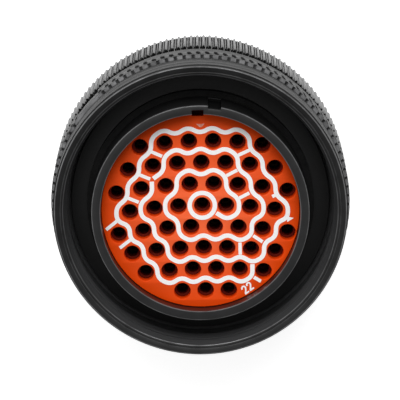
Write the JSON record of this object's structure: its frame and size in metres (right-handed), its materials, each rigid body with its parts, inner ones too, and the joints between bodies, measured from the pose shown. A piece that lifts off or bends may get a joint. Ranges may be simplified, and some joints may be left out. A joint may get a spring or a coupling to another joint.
{
  "type": "circular connector",
  "caption": "Circular plug connector with a free-spinning threaded coupling ring, a serrated grip nut and a soft face full of contact cavities.",
  "frame": {"origin": "middle of the grip nut's rear face, on which the connector stands", "axes": "+Z along the connector's axis towards the mating face, +Y towards the insert keyway of the barrel"},
  "size_m": [0.0698, 0.0698, 0.046],
  "materials": {
    "shell": "black anodised, satin",
    "ring": "black anodised, turned and knurled",
    "nut": "black anodised, bead blasted ridges",
    "steel": "plain spring steel",
    "black_rubber": "smooth black rubber",
    "face_rubber": "soft orange silicone",
    "insert_plastic": "moulded thermoset, dark red",
    "contact_metal": "gold plated",
    "follower_plastic": "moulded, plain"
  },
  "bodies": {
    "shell": {"plug_shell": "shell", "thrust_washer": "steel", "disc_spring": "steel", "backing_washer": "steel", "retaining_ring": "steel", "barrel_seal": "black_rubber", "face_seal": "face_rubber", "front_insert": "insert_plastic", "retention_plate": "insert_plastic", "clip_backing_plate": "insert_plastic", "insert_retainer": "steel", "rear_grommet": "face_rubber", "socket_contacts": "contact_metal", "contact_clips": "contact_metal", "grommet_follower": "follower_plastic", "slip_washer": "steel", "nut_seal": "black_rubber", "grip_nut": "nut"},
    "ring": {"coupling_ring": "ring"}
  },
  "joints": [
    {"name": "ring_spin", "type": "hinge", "parent": "shell", "child": "ring", "pos_m": [0, 0, 0.025], "axis": [0, 0, 1], "continuous": true}
  ]
}
